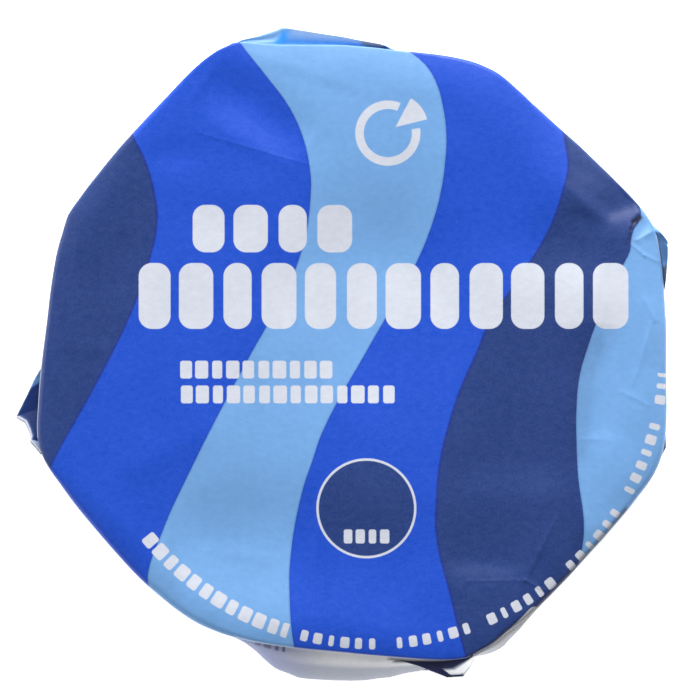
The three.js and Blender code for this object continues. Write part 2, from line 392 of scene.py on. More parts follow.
def whiteMarks(tree, place):
    masks = []
    for middle, size, bars in marks["rows"]:
        start = (middle[0] - size[0] / 2, middle[1])
        masks.append(barRow(tree, *turnedPlace(tree, place, start, 0), size, bars))
    middle, radius = marks["arcMiddle"], marks["arcRadius"]
    across = addNode(tree, "ShaderNodeMath", {"operation": "SUBTRACT"},
                     {0: distanceFrom(tree, place, middle), 1: radius})
    back = addNode(tree, "ShaderNodeVectorMath", {"operation": "SUBTRACT"}, {0: (*middle, 0), 1: place})
    axes = addNode(tree, "ShaderNodeSeparateXYZ", {}, {0: back}).node.outputs
    # the angle is measured from the side opposite, so its jump lies away from the arcs
    angle = addNode(tree, "ShaderNodeMath", {"operation": "ARCTAN2"}, {0: axes[1], 1: axes[0]})
    for start, end, height, bars, gapEvery in marks["arcs"]:
        before = math.radians(start - fullTurn / 2) * radius
        along = addNode(tree, "ShaderNodeMath", {"operation": "MULTIPLY_ADD"},
                        {0: angle, 1: radius, 2: -before})
        size = (math.radians(end - start) * radius, height)
        masks.append(barRow(tree, along, across, size, bars, gapEvery))
    mark = marks["roundMark"]
    masks.append(lineMask(tree, distanceFrom(tree, place, mark["middle"]), mark["radius"], mark["ring"]))
    return joinMasks(tree, "MAXIMUM", masks + wheelMasks(tree, place))


def paperFields(tree, place, colour):
    for field in whiteFields:
        fieldOut, fieldAcross = field["middle"]
        outAxis, acrossAxis = axesAt(field["facing"])
        middle = outAxis * fieldOut + acrossAxis * fieldAcross
        out, across = turnedPlace(tree, place, middle, field["facing"])
        halfLength, halfWidth = [side / 2 for side in field["size"]]
        distance = roundedBox(tree, out, across, halfLength, halfWidth, marks["fieldCorner"])
        # painted shade: the field's white turns greyer between these two distances out
        upper, lower = field["paintedShade"]
        paintedShade = addNode(tree, "ShaderNodeMapRange", {"interpolation_type": "SMOOTHSTEP"},
                        {0: out, 1: upper - fieldOut, 2: lower - fieldOut})
        ground = paint(tree, linearColour(printing["field"]), linearColour(printing["fieldPaintedShade"]), paintedShade)
        if field["tint"]:
            tinted, clear = field["tint"]
            fade = addNode(tree, "ShaderNodeMapRange", {"interpolation_type": "SMOOTHSTEP"},
                           {0: across, 1: tinted, 2: clear})
            ground = paint(tree, linearColour(printing["fieldTint"]), ground, fade)
        colour = paint(tree, colour, ground, softMask(tree, distance))
        rows = []
        for i, (rowOut, start, length, height) in enumerate(field["rows"]):
            along = addNode(tree, "ShaderNodeMath", {"operation": "SUBTRACT"},
                            {0: across, 1: start - fieldAcross})
            line = addNode(tree, "ShaderNodeMath", {"operation": "SUBTRACT"}, {0: out, 1: rowOut - fieldOut})
            gapEvery = marks["fineGaps"][i % len(marks["fineGaps"])]
            rows.append(barRow(tree, along, line, (length, height), marks["fineBars"], gapEvery))
        if rows:
            ink = linearColour(printing["fineInk"])
            colour = paint(tree, colour, ink, joinMasks(tree, "MAXIMUM", rows))
    return colour


def creaseNodes(tree, place):
    # how high the creases stand at a place on the sheet, and how much painted shade they lay there
    height, dark = 0, 0
    for start, end, width, rise, paintedShade in fineCreases:
        line = Vector((*end, 0)) - Vector((*start, 0))
        fromStart = addNode(tree, "ShaderNodeVectorMath", {"operation": "SUBTRACT"},
                            {0: place, 1: (*start, 0)})
        along = addNode(tree, "ShaderNodeVectorMath", {"operation": "DOT_PRODUCT"},
                        {0: fromStart, 1: line / line.length_squared}, output=1)
        held = addNode(tree, "ShaderNodeMath", {"operation": "ADD", "use_clamp": True}, {0: along, 1: 0})
        nearest = addNode(tree, "ShaderNodeVectorMath", {"operation": "SCALE"}, {0: line, 3: held})
        distance = addNode(tree, "ShaderNodeVectorMath", {"operation": "DISTANCE"},
                           {0: fromStart, 1: nearest}, output=1)
        inside = addNode(tree, "ShaderNodeMath", {"operation": "MULTIPLY_ADD", "use_clamp": True},
                         {0: distance, 1: -1 / width, 2: 1})
        inside = addNode(tree, "ShaderNodeMath", {"operation": "POWER"}, {0: inside, 1: creaseForm["power"]})
        height = addNode(tree, "ShaderNodeMath", {"operation": "MULTIPLY_ADD"},
                         {0: inside, 1: rise, 2: height})
        if paintedShade:
            middle = addNode(tree, "ShaderNodeMath", {"operation": "MULTIPLY", "use_clamp": True},
                             {0: inside, 1: creaseForm["shadeSpread"]})
            shaded = addNode(tree, "ShaderNodeMath", {"operation": "MULTIPLY"}, {0: middle, 1: paintedShade})
            dark = addNode(tree, "ShaderNodeMath", {"operation": "MAXIMUM"}, {0: shaded, 1: dark})
    return height, dark


def paperFinish(tree, shader, colour, place, roughness, creases=None):
    shader.inputs["IOR"].default_value = grain["refraction"]
    stretched = addNode(tree, "ShaderNodeMapping", {}, {0: place, 3: grain["stretch"]})
    noises = ((stretched, *grain["fibres"]), (place, *grain["tooth"]), (place, *grain["clouds"]))
    fibres, tooth, clouds = [addNode(tree, "ShaderNodeTexNoise", {},
                                     {0: where, 2: scale, 3: detail, 4: rough})
                             for where, scale, detail, rough in noises]
    change = grain["toneChange"]
    tone, broad = [addNode(tree, "ShaderNodeMapRange", {},
                           {0: source, 1: 0.3, 2: 0.7, 3: 1 - change, 4: 1 + change})
                   for source in (fibres, clouds)]
    tone = addNode(tree, "ShaderNodeMath", {"operation": "MULTIPLY"}, {0: tone, 1: broad})
    toned = addNode(tree, "ShaderNodeVectorMath", {"operation": "SCALE"}, {0: colour, 3: tone})
    # the white sheet glows through the ink by a little more or less at each fibre
    glow = grain["glow"]
    coarse, fine = [addNode(tree, "ShaderNodeMapRange", {"clamp": False},
                            {0: source, 1: 0.25, 2: 0.75, 3: -glow, 4: glow}) for source in (fibres, tooth)]
    glowing = addNode(tree, "ShaderNodeMath", {"operation": "ADD"}, {0: coarse, 1: fine})
    toned = addNode(tree, "ShaderNodeVectorMath", {"operation": "ADD"}, {0: toned, 1: glowing})
    tree.links.new(toned, shader.inputs["Base Color"])
    change = grain["roughChange"]
    rough = addNode(tree, "ShaderNodeMapRange", {},
                    {0: clouds, 1: 0.25, 2: 0.75, 3: roughness[0], 4: roughness[1]})
    coating = addNode(tree, "ShaderNodeMapRange", {}, {0: tooth, 1: 0.2, 2: 0.8, 3: -change, 4: change})
    rough = addNode(tree, "ShaderNodeMath", {"operation": "ADD"}, {0: rough, 1: coating})
    tree.links.new(rough, shader.inputs["Roughness"])
    relief = addNode(tree, "ShaderNodeMath", {"operation": "MULTIPLY_ADD"},
                     {0: fibres, 1: grain["fibreRelief"], 2: tooth})
    bump = addNode(tree, "ShaderNodeBump", {},
                   {"Strength": grain["strength"], "Distance": grain["depth"] * mm, "Height": relief})
    if creases:
        bump = addNode(tree, "ShaderNodeBump", {}, {"Distance": mm, "Height": creases, "Normal": bump})
    tree.links.new(bump, shader.inputs["Normal"])


# Coated wrapping paper, printed in spot colours: the coating gives an even satin sheen, broad on the
# flat face and brighter at the folds, with the paper's fibres faintly under it
def printedPaper():
    material, tree, shader = emptyMaterial("coated_printed_paper")
    place = addNode(tree, "ShaderNodeUVMap", {"uv_map": "sheet"}, {})
    axes = addNode(tree, "ShaderNodeSeparateXYZ", {}, {0: place}).node.outputs
    colour = stripePrint(tree, axes[0], axes[1])
    mark = marks["roundMark"]
    past = addNode(tree, "ShaderNodeMath", {"operation": "SUBTRACT"},
                   {0: distanceFrom(tree, place, mark["middle"]), 1: mark["radius"]})
    colour = paint(tree, colour, linearColour(printing["navy"]), softMask(tree, past))
    colour = paint(tree, colour, linearColour(printing["white"]), whiteMarks(tree, place))
    colour = paperFields(tree, place, colour)
    creases, paintedCreaseShade = creaseNodes(tree, place)
    # painted shade along the darker creases
    colour = paint(tree, colour, linearColour(printing["shadeColour"]), paintedCreaseShade)
    # painted light where it would come through the thin paper of a standing lip, painted shade in the depths
    # of a fold, and the white of the sheet where a fold is worn, which also serves as painted highlight
    for layer, ink in (("paintedLightThrough", "azure"), ("paintedFoldShade", "shadeColour"), ("foldWear", "field")):
        amount = addNode(tree, "ShaderNodeAttribute", {"attribute_name": layer}, {}, output=2)
        colour = paint(tree, colour, linearColour(printing[ink]), amount)
    paperFinish(tree, shader, colour, place, grain["coatedRoughness"], creases)
    return material


# The same sheet where it is bare: uncoated, so it is matt, and its fibres show in its pale tone
def plainPaper():
    material, tree, shader = emptyMaterial("uncoated_white_paper")
    place = addNode(tree, "ShaderNodeUVMap", {"uv_map": "sheet"}, {})
    paperFinish(tree, shader, linearColour(grain["bareColour"])[:3], place, grain["bareRoughness"])
    return material


# The wrap. Its sizes are those of the CAD solid, which it stands for, and its relief is finer.
wrap = {
    "name": "printed_wrap",
    "packHeight": 25.4,
    "shoulderRadius": 1.8,
    "footRadius": 2.6,
    "faceSag": 0.35,
    "faceDrop": 0.3,  # room for the wrinkles that stand above the face
    # how round the paper's fold over the upper rim is, from side to side: direction, radius
    "foldRounds": [(0, 0.9), (22, 0.6), (45, 0.9), (65, 0.6), (84, 0.25), (110, 0.25), (138, 0.9),
                   (155, 0.7), (174, 0.75), (197, 0.75), (213, 1.3), (240, 1.3), (255, 0.6), (291, 0.6),
                   (303, 1.2), (330, 1.2), (345, 0.9), (360, 0.9)],
    # how far the face has sunk where it reaches the fold, and over what width it sinks
    "edgeFalls": [(0, 0.35), (18, 1.0), (38, 1.3), (58, 1.0), (72, 0.7), (86, 0.62), (105, 0.5),
                  (116, 0.1), (135, 0.12), (146, 0.5), (156, 0.4), (168, 0.15), (200, 0.12), (226, 0.5),
                  (248, 0.45), (265, 0.65), (286, 0.3), (300, 0.15), (317, 0.5), (335, 0.4), (360, 0.35)],
    "fallWidths": [(0, 3), (18, 6), (38, 7), (58, 7), (72, 6), (86, 5), (105, 5), (116, 3), (135, 2.5),
                   (146, 3.2), (156, 3), (168, 2), (200, 2), (226, 3.2), (248, 3.5), (265, 4.5),
                   (288, 3.5), (300, 3), (317, 3.5), (335, 3), (360, 3)],
    # the direction that each fold line faces, and its distance from the axis
    "foldLines": [(0.4, 41.98), (45.9, 40.95), (86.1, 40.8), (138.0, 42.05), (173.7, 42.05),
                  (217.3, 43.0), (236.4, 43.4), (264.7, 40.95), (317.2, 41.9)],
    # where the fold line runs a little further in, or further out: direction, how far in
    "foldTrims": [
        [(4, 0), (8.3, 0.12), (12.2, 0.23), (16.0, 0.38), (18.0, 0.36), (20, 0.2), (22.6, 0.05), (26, 0)],
        [(42, 0), (47.5, 0.18), (54.3, 0.32), (59, 0.28), (62.8, 0.13), (66, 0.2), (70, 0.22), (76, 0.1),
         (82, 0)],
        [(82, 0), (86, -0.18), (92, -0.2), (96, -0.05), (100, 0.15), (104, 0.3), (107, 0.25),
         (110.6, -0.1), (113.5, 0.15), (116.6, 0.26), (121, 0.2), (128, 0.08), (135, 0)],
        [(139, 0), (146, 0.14), (151.5, 0.1), (154.8, -0.12), (158.5, 0.14), (163, 0.05), (168, 0)],
        [(190, 0), (195.5, -0.25), (199.5, -0.22), (204, 0)],
        [(232, 0), (240, -0.08), (247, 0)],
        [(280, 0), (285, 0.1), (289.6, 0.32), (292.5, 0.88), (297.9, 0.87), (302.2, 0.25), (308, 0)],
        [(308, 0), (313, -0.08), (320, 0)],
        [(322, 0), (333, 0.27), (342, 0)],
    ],
    "foldSharpness": 24,
    # corners where the spare paper is pleated, and the direction that the side after each one faces
    "pleatCorners": [22, 65, 115, 155.5, 197.5, 246.5, 291, 340],
    "sideFacings": [45.9, 86.1, 138.0, 173.7, 226.8, 264.7, 317.2, 0.4],
    "pleatStep": 0.6,
    "pleatStart": 1.5,
    "pleatSlant": 22.5,
    "stepEase": 3,
    "pleatTurn": 4,  # below the fold, how far down a pleat takes to follow the next side
    "underStep": 0.4,
    "underRise": 0.17,
    "underSwing": 1.6,  # degrees for each millimetre inwards
    "underEase": 0.3,  # the part of the radius over which the gathers grow from flat
    "underRelief": 0.45,  # how much of the relief there is underneath
    # the folded edge of a pleat: how far each point lies past the crease where the paper is still flat
    # and where it is folded, and its part of the step's depth
    "tuck": (-0.62, 0.5),
    "foldEdge": [(-0.4, 0.08, 0.74), (-0.2, -0.12, 0.42), (0.0, -0.03, 0.12), (0.2, 0.2, 0.0)],
    "pleatFrom": 0.45,
    "rimLips": [
        [(81.4, 0), (83.2, 0.25), (84.8, 0.65), (90, 1.05), (95.8, 1.7), (102.9, 2.68), (108.4, 1.1),
         (113, 0)],
        [(9, 0), (10.5, 0.2), (12.2, 0.5), (14.9, 0.92), (16.2, 1.2), (18.5, 1.48), (19.3, 1.2),
         (19.8, 1.05), (22.6, 0.12), (24, 0)],
        [(340.5, 0), (342.5, 0.35), (346, 0)],
    ],
    "fullLip": 0.6,
    "lipFoot": 12.5,
    # a lip's section, from the wall over its crest and down into the valley behind it: how far down the
    # plain wall each point lies, its height from the shoulder and its part of the stand-off
    "lipDrops": [4.1, 1.9, 1.2, 0.6, 0],
    "lipHeights": [-4.1, -0.1, 0.35, 0.02, 0],
    "lipReaches": [0.564, 1, 0.85, 0.08, 0],
    # the same where a lip is turned to the outside, so that its crest lies by the face, and where that is
    "turnedHeights": [-4.1, 0.3, 0.55, 0.8, 0],
    "turnedReaches": [0.564, 1, 0.45, 0.05, 0],
    "lipTurns": [(0, 0), (101.5, 0), (105.5, 1), (118, 1), (125, 0), (360, 0)],
    "wallSwells": [
        [(246.5, 0), (248.3, 0.6), (251.8, 1.85), (256.1, 3.83), (260.1, 4.72), (269, 4.6), (275.6, 3.9),
         (282, 2.4), (286, 1.3), (290, 0)],
        [(286, 0), (289.6, 0.5), (292.5, 1.1), (296.5, 1.7), (300.5, 1.3), (304.5, 0.5), (308, 0)],
    ],
    "swellPower": 0.8,
    "panelColumns": 46,
    "pleatColumns": 13,
    "underRows": 26,
    "footRows": 10,
    "wallRows": 36,
    "lipRows": 16,
    "shoulderRows": 12,
    "faceRows": 80,
    "faceSpread": 0.65,  # how evenly the face's rings are spaced; below 1 they are closer at the edge
    "mergeDistance": 0.002,
    # wrinkles on the face: start, end, width (on both sides, or on the left and the right), height and
    # how sharp they are (2 is round, 1 is creased)
    "wrinkles": [
        # the hollow in the upper left, with a long dark side above it and a short bright one below
        ((-20.0, 36.8), (-6.5, 27.8), 3.3, -0.60, 2),
        ((-21.0, 31.4), (-7.5, 24.6), 1.8, 0.15, 2),
        ((-18.5, 29.4), (-9.3, 25.4), 0.7, 0.06, 2),
        ((-27.5, 26.0), (-22.5, 26.6), 2.0, -0.18, 2),
        ((-25.5, 23.5), (-12.0, 20.0), 3.5, 0.12, 2),
        # streaks under the top edge
        ((-15.5, 40.6), (4.4, 34.0), 0.8, 0.04, 2),
        ((-13.0, 38.6), (0.0, 34.2), 0.9, -0.03, 2),
        # the broad hollow below the top, which rises slowly again towards the middle
        ((0.0, 13.5), (8.0, 13.5), (8.5, 8.0), -1.40, 2),
        ((-5.0, 4.0), (10.0, 4.0), (8.0, 9.0), -0.85, 2),
        ((-9.0, -6.0), (11.0, -6.0), (8.0, 10.0), -0.45, 2),
        # down the left edge
        ((-36.8, 20.0), (-37.2, -7.0), 1.8, 0.20, 2),
        ((-39.6, 0.9), (-33.0, 0.1), 1.0, 0.08, 2),
        ((-30.8, 8.0), (-31.4, 16.0), 1.6, -0.12, 2),
        # wrinkles that run together at the right corner
        ((28.2, 22.4), (33.8, 16.9), 1.1, 0.22, 1.5),
        ((28.6, 25.6), (37.0, 20.3), 0.8, -0.06, 2),
        ((32.8, 20.9), (34.1, 18.1), (2.4, 0.6), -0.25, 1.5),
        ((33.9, 18.1), (37.5, 19.8), (3.0, 1.5), -0.58, 1.5),
        ((23.5, 15.0), (33.5, 13.2), 4.4, -0.60, 2),
        ((28.5, 18.2), (34.5, 16.6), 1.5, -0.20, 2),
        ((38.6, 18.9), (37.4, 17.2), 0.5, 0.20, 1),
        ((37.4, 17.2), (36.6, 14.4), 0.5, 0.20, 1),
        ((39.2, 17.6), (38.1, 14.9), 0.8, -0.40, 2),
        ((38.0, 16.8), (42.5, 15.0), 2.6, -0.25, 2),
        ((37.6, 14.7), (40.4, 16.2), (2.2, 0.65), 0.42, 1.2),
        ((39.0, 6.8), (40.4, 4.0), 1.0, 0.12, 1),
        ((40.2, 4.2), (37.5, -4.6), 1.1, 0.12, 1),
        ((33.6, 3.5), (33.6, -12.0), (1.8, 5.0), -0.55, 2),
        ((36.5, -11.5), (40.5, -3.0), 2.4, 0.14, 2),
        # the swell and the star over the lower right corner
        ((12.5, -14.4), (29.5, -14.6), (8.0, 3.6), -0.22, 2),
        ((12.5, -20.8), (29.0, -20.4), (2.8, 7.0), 0.22, 2),
        ((12.2, -28.2), (23.2, -28.6), (9.0, 2.0), -0.62, 2),
        ((27.4, -22.4), (22.9, -31.0), 1.0, 0.16, 1.2),
        ((24.9, -27.4), (23.9, -31.4), 1.0, -0.16, 2),
        ((29.5, -25.0), (31.5, -31.0), 2.4, -0.25, 2),
        ((31.0, -22.5), (38.0, -19.0), (3.5, 2.0), -0.22, 2),
        # the hollow across the lower left, which is as broad as the swell below it
        ((-32.0, -17.0), (-18.5, -10.4), 2.4, 0.16, 2),
        ((-25.0, -24.7), (-5.0, -25.2), (7.2, 6.0), -1.15, 2),
        ((-26.0, -31.0), (8.0, -32.5), 5.0, -0.50, 2),
        ((-3.0, -26.0), (11.0, -27.0), 5.0, -0.40, 2),
        ((-21.0, -27.0), (-11.5, -28.2), 0.9, 0.05, 2),
    ],
    "wrinkleReach": 3.5,  # how many widths away a wrinkle has run out
    "wrinkleEnd": 0.04,
    "longWrinkle": 4,  # how many widths long the ones are that run out to a point
    # the highest ridges are held under the pack's own height: from what height on, and by how much more
    # they can rise at most
    "ridgeLimit": (0.12, 0.14),
    # soft unevenness of the whole sheet: size and height of each layer of noise
    "unevenness": [(16.0, 0.12), (6.0, 0.05), (2.6, 0.012)],
    # gathers down the wall. They are weaker in the middle of a side, and grow on the way to its corners
    # and down from the fold.
    "gathers": {"width": 2.6, "length": 15.0, "height": 0.28, "slice": 0.5, "midSide": 0.35,
                "across": (4, 15), "down": (2, 7)},
    # pale lines along the folds, where the white of the paper shows through worn print and painted highlight
    # brightens them, and painted shade around two of them: the directions where it starts and ends, the part
    # of the way round the fold at which its middle lies, its width there, its strength and its layer
    "foldLights": [
        (247, 290.5, 0.7, 0.2, 0.5, "foldWear"),
        (183.5, 195.5, 0.8, 0.18, 0.45, "foldWear"),
        (160, 183.5, 0.85, 0.2, 0.3, "foldWear"),
        (291, 344, 0.85, 0.2, 0.3, "foldWear"),
        (6, 21, 0.8, 0.2, 0.45, "foldWear"),
        (276.4, 290.5, 1.35, 0.45, 0.9, "paintedFoldShade"),
        (290.5, 330, 1.0, 2.3, 0.76, "paintedFoldShade"),
    ],
    "lightEase": 0.6,  # the part of the way round the fold over which they come in
    # painted light and shade behind the lips: light through the paper, a highlight on one facet and shade in
    # the depths. For each, the directions where it starts, at the first knot of the lip's section and at the
    # last, the same for where it ends, the knots over which it comes and goes, its layer and its strength
    "pockets": [
        ((80, 80), (103, 107), (1.7, 2.1, 3.8, 4.0), "paintedLightThrough", 1),
        ((85, 85), (101, 102.5), (0.8, 1.2, 2.2, 3.0), "foldWear", 0.3),
        ((80, 80), (103, 107), (2.6, 3.2, 3.98, 4.05), "paintedFoldShade", 0.55),
        ((80, 80), (90, 87), (1.6, 2.0, 3.9, 4.05), "paintedFoldShade", 0.75),
        ((6, 6), (21.5, 22.5), (2.7, 3.1, 3.98, 4.05), "paintedFoldShade", 0.85),
        ((6, 6), (15.4, 15.6), (0.7, 1.0, 3.0, 3.3), "paintedFoldShade", 0.85),
        ((15.4, 15.6), (20.5, 21.5), (1.0, 1.4, 2.7, 3.1), "paintedFoldShade", 0.6),
        ((15.4, 15.6), (20.5, 21.5), (1.0, 1.4, 2.7, 3.1), "paintedLightThrough", 0.45),
    ],
    "pocketEdge": 0.45,
    "pocketLip": (0.1, 0.5),  # how far a lip stands off where its pocket begins, and where it is whole
}
wallTop = wrap["packHeight"] - wrap["shoulderRadius"]
meanReach = sum(distance for facing, distance in wrap["foldLines"]) / len(wrap["foldLines"])
footArc = wrap["footRadius"] * math.pi / 2


def standOff(curves, direction):
    angle = direction % fullTurn
    total = 0
    for points in curves:
        for (start, startValue), (end, endValue) in zip(points, points[1:]):
            if start <= angle < end:
                total += lerp(startValue, endValue, (angle - start) / (end - start))
    return total


def aroundValue(points, direction):
    # a value given at some directions, eased from one to the next
    angle = direction % fullTurn
    for (start, startValue), (end, endValue) in zip(points, points[1:]):
        if start <= angle < end:
            return lerp(startValue, endValue, smoothPart(angle, start, end))
    return points[-1][1]


def foldReach(direction):
    # how far the fold line lies from the axis: all the sides, blended at the corners
    total = 0
    for facing, distance in wrap["foldLines"]:
        along = math.cos(math.radians(direction - facing))
        if along > 0:
            total += (along / distance) ** wrap["foldSharpness"]
    return total ** (-1 / wrap["foldSharpness"]) - standOff(wrap["foldTrims"], direction)


def foldShape(direction):
    # how the paper turns over the upper rim: the fold's radius, how far and how steeply the face has
    # sunk by there, the height of the fold's middle, and how far out the face ends
    radius = aroundValue(wrap["foldRounds"], direction)
    fall = aroundValue(wrap["edgeFalls"], direction)
    width = aroundValue(wrap["fallWidths"], direction)
    tilt = math.atan(2 * fall / width)
    return {"round": radius, "fall": fall, "fallWidth": width, "turn": math.pi / 2 - tilt,
            "middle": wrap["packHeight"] - wrap["faceDrop"] - fall - radius * math.cos(tilt),
            "inner": foldReach(direction) - radius * (1 - math.sin(tilt))}


def swellPart(height):
    down = clampPart((wallTop - height) / wallTop)
    return math.sin(math.pi * down ** wrap["swellPower"]) ** wrap["swellPower"] if 0 < down < 1 else 0


def stepPart(height):
    return smoothPart(wallTop - height, 0, wrap["stepEase"])


def paperDown(here, height):
    # the length of paper from the face's edge down the wall to a height
    return here["round"] * here["turn"] + here["middle"] - height


# Rings of the surface, from the middle of the underside up to the middle of the face. Each has what
# sets it apart from this plain one, and a function that gives its radius, its height and the length of
# paper from the face's edge down to it. What the fold is like in that direction comes in as here.
plainRing = {
    "height": wallTop,  # sets the pleats' lean
    "inwards": 0,  # how far it lies in under the wheel
    "grown": 0,  # how much of the pleats' step has grown
    "out": 1,  # how relief moves it outwards and up
    "up": 0,
    "onFace": 0,  # how far it has the face's wrinkles, and not the wall's gathers
}


def underPlace(ring, here):
    height = wrap["underRise"] + wrap["underStep"] * here["under"] * ring["grown"]
    run = paperDown(here, wrap["footRadius"]) + footArc + ring["inwards"] - wrap["footRadius"]
    return here["reach"] * ring["part"], height, run


def footPlace(ring, here):
    out, down = ring["out"], ring["down"]
    depth = lerp(wrap["underStep"], wrap["pleatStep"], out) * here["under"]
    swollen = here["reach"] + here["swell"] * swellPart(ring["height"]) * out
    height = ring["height"] + (wrap["underRise"] + depth) * down
    run = paperDown(here, wrap["footRadius"]) + wrap["footRadius"] * (math.pi / 2 - ring["angle"])
    return swollen - ring["inwards"] - depth * out, height, run


def wallPlace(ring, here):
    standing = here["swell"] * swellPart(ring["height"]) + here["lip"] * ring["lipPart"]
    radius = here["reach"] + standing - wrap["pleatStep"] * here["under"] * ring["grown"]
    return radius, ring["height"], paperDown(here, ring["height"])


def lipPlace(ring, here):
    higher = here["middle"] - wallTop
    reach = lerp(*ring["reaches"], here["turned"])
    standing = here["swell"] * swellPart(ring["height"]) + here["lip"] * reach
    radius = here["reach"] + standing - wrap["pleatStep"] * here["under"] * ring["grown"]
    level = ring["height"] + higher * (1 - ring["drop"] / wrap["lipDrops"][0])
    crest = wallTop + lerp(*ring["rises"], here["turned"]) + higher * ring["atShoulder"]
    height = lerp(level, crest, smoothPart(here["lip"], 0, wrap["fullLip"]))
    return radius, height, paperDown(here, level)


def shoulderPlace(ring, here):
    angle = here["turn"] * ring["part"]
    radius = here["reach"] - here["round"] * (1 - math.cos(angle))
    return radius, here["middle"] + here["round"] * math.sin(angle), here["round"] * (here["turn"] - angle)


def facePlace(ring, here):
    part = ring["part"]
    fromEdge = here["inner"] * (1 - part)
    sunk = here["fall"] * clampPart(1 - fromEdge / here["fallWidth"]) ** 2
    level = wrap["packHeight"] - wrap["faceDrop"] - wrap["faceSag"] * (1 - part * part)
    return here["inner"] * part, level - sunk, 0


def wrapRings():
    rings = []
    for i in range(wrap["underRows"]):
        part = (i / wrap["underRows"]) * (1 - wrap["footRadius"] / meanReach)
        eased = smoothPart(part, 0, wrap["underEase"])
        rings.append({"place": underPlace, "height": 0, "inwards": meanReach * (1 - part), "grown": eased,
                      "out": 0, "up": -wrap["underRelief"] * eased, "part": part})
    for i in range(wrap["footRows"] + 1):
        angle = (i / wrap["footRows"]) * math.pi / 2
        out, down = math.sin(angle), math.cos(angle)
        rings.append({"place": footPlace, "height": wrap["footRadius"] * (1 - down),
                      "inwards": wrap["footRadius"] * (1 - out), "grown": 1, "out": out,
                      "up": -wrap["underRelief"] * down, "angle": angle, "down": down})
    for i in range(1, wrap["wallRows"]):
        height = lerp(wrap["footRadius"], wallTop - wrap["lipDrops"][0], i / wrap["wallRows"])
        rings.append({"place": wallPlace, "height": height, "grown": stepPart(height),
                      "lipPart": smoothPart(height, wrap["lipFoot"], wrap["packHeight"])})
    lastKnot = len(wrap["lipDrops"]) - 1
    for i in range(wrap["lipRows"] + 1):
        knot = (i / wrap["lipRows"]) * lastKnot
        drop = splineValue(wrap["lipDrops"], knot)
        rings.append({"place": lipPlace, "height": wallTop - drop, "grown": stepPart(wallTop - drop),
                      "drop": drop, "knot": knot, "atShoulder": clampPart(knot - lastKnot + 1),
                      "rises": [splineValue(wrap[key], knot) for key in ("lipHeights", "turnedHeights")],
                      "reaches": [splineValue(wrap[key], knot) for key in ("lipReaches", "turnedReaches")]})
    for i in range(1, wrap["shoulderRows"] + 1):
        part = i / wrap["shoulderRows"]
        up = math.sin(part * math.pi / 2)
        rings.append({"place": shoulderPlace, "out": math.sqrt(1 - up * up), "up": up, "onFace": up * up,
                      "part": part})
    for i in range(1, wrap["faceRows"] + 1):
        inwards = i / wrap["faceRows"]
        part = 1 - lerp(inwards * inwards, inwards, wrap["faceSpread"])
        rings.append({"place": facePlace, "out": 0, "up": 1, "onFace": 1, "part": part})
    return [{**plainRing, **ring} for ring in rings]


def sideColumns():
    columns = [("panel", i / wrap["panelColumns"]) for i in range(wrap["panelColumns"] + 1)]
    columns += [("fold", edge) for edge in wrap["foldEdge"]]
    columns += [("pleat", i / wrap["pleatColumns"]) for i in range(wrap["pleatColumns"])]
    return columns


def sideEnds(side):
    corners = wrap["pleatCorners"]
    start, end = corners[side], corners[(side + 1) % len(corners)]
    return start, end if end > start else end + fullTurn


def columnPlace(side, kind, value, drop, grown):
    # the direction of a column where the paper has run down so far, and its part of the step's depth
    start, end = sideEnds(side)
    degreesPerMm = fullTurn / (2 * math.pi * cornerReach[side])
    crease = end - (wrap["pleatStart"] + drop * math.tan(math.radians(wrap["pleatSlant"]))) * degreesPerMm
    if kind == "panel":
        return lerp(start, crease + lerp(*wrap["tuck"], grown) * degreesPerMm, value), value
    if kind == "fold":
        flat, folded, depth = value
        return crease + lerp(flat, folded, grown) * degreesPerMm, depth
    return lerp(crease + wrap["pleatFrom"] * degreesPerMm, end, value), 0


def sideAxes(side):
    return axesAt(wrap["sideFacings"][side % len(wrap["sideFacings"])])


def flatInner(direction):
    # where the flat face ends in a direction
    return heading(direction) * foldShape(direction)["inner"]


def flatPlace(side, onPleat, direction, point, run):
    # where a point of the wrap lies on the flat sheet. A pleat's outer layer is part of the next side.
    inner = flatInner(direction)
    out, across = sideAxes(side)
    if not onPleat:
        return out * (inner.dot(out) + run) + across * point.dot(across)
    corner = sideEnds(side)[1]
    cornerPoint = heading(corner) * cornerReach[side]
    beforeCorner = cornerPoint.dot(across) - point.dot(across)
    nextOut, nextAcross = sideAxes(side + 1)
    turned = smoothPart(run, 0, wrap["pleatTurn"])
    outward = lerp(inner.dot(nextOut), flatInner(corner).dot(nextOut), turned) + run
    sideways = lerp(point.dot(nextAcross), cornerPoint.dot(nextAcross) - beforeCorner, turned)
    return nextOut * outward + nextAcross * sideways


def faceWrinkles(point):
    total = 0
    for start, end, width, height, shape in wrap["wrinkles"]:
        left, right = width if isinstance(width, tuple) else (width, width)
        fromStart = point - Vector(start)
        line = Vector(end) - Vector(start)
        part = clampPart(fromStart.dot(line) / line.length_squared)
        off = fromStart - line * part
        across = line.cross(off) / line.length
        past = off.dot(line) / line.length
        distance = math.hypot(across / (left if across > 0 else right), past / min(left, right))
        if distance < wrap["wrinkleReach"]:
            # long ones run out to a point, and broad ones end as roundly as they are wide
            taper = math.sqrt(clampPart(4 * part * (1 - part) + wrap["wrinkleEnd"]))
            taper = lerp(1, taper, clampPart(line.length / (wrap["longWrinkle"] * min(left, right))))
            total += height * taper * math.exp(-distance ** shape)
    return total


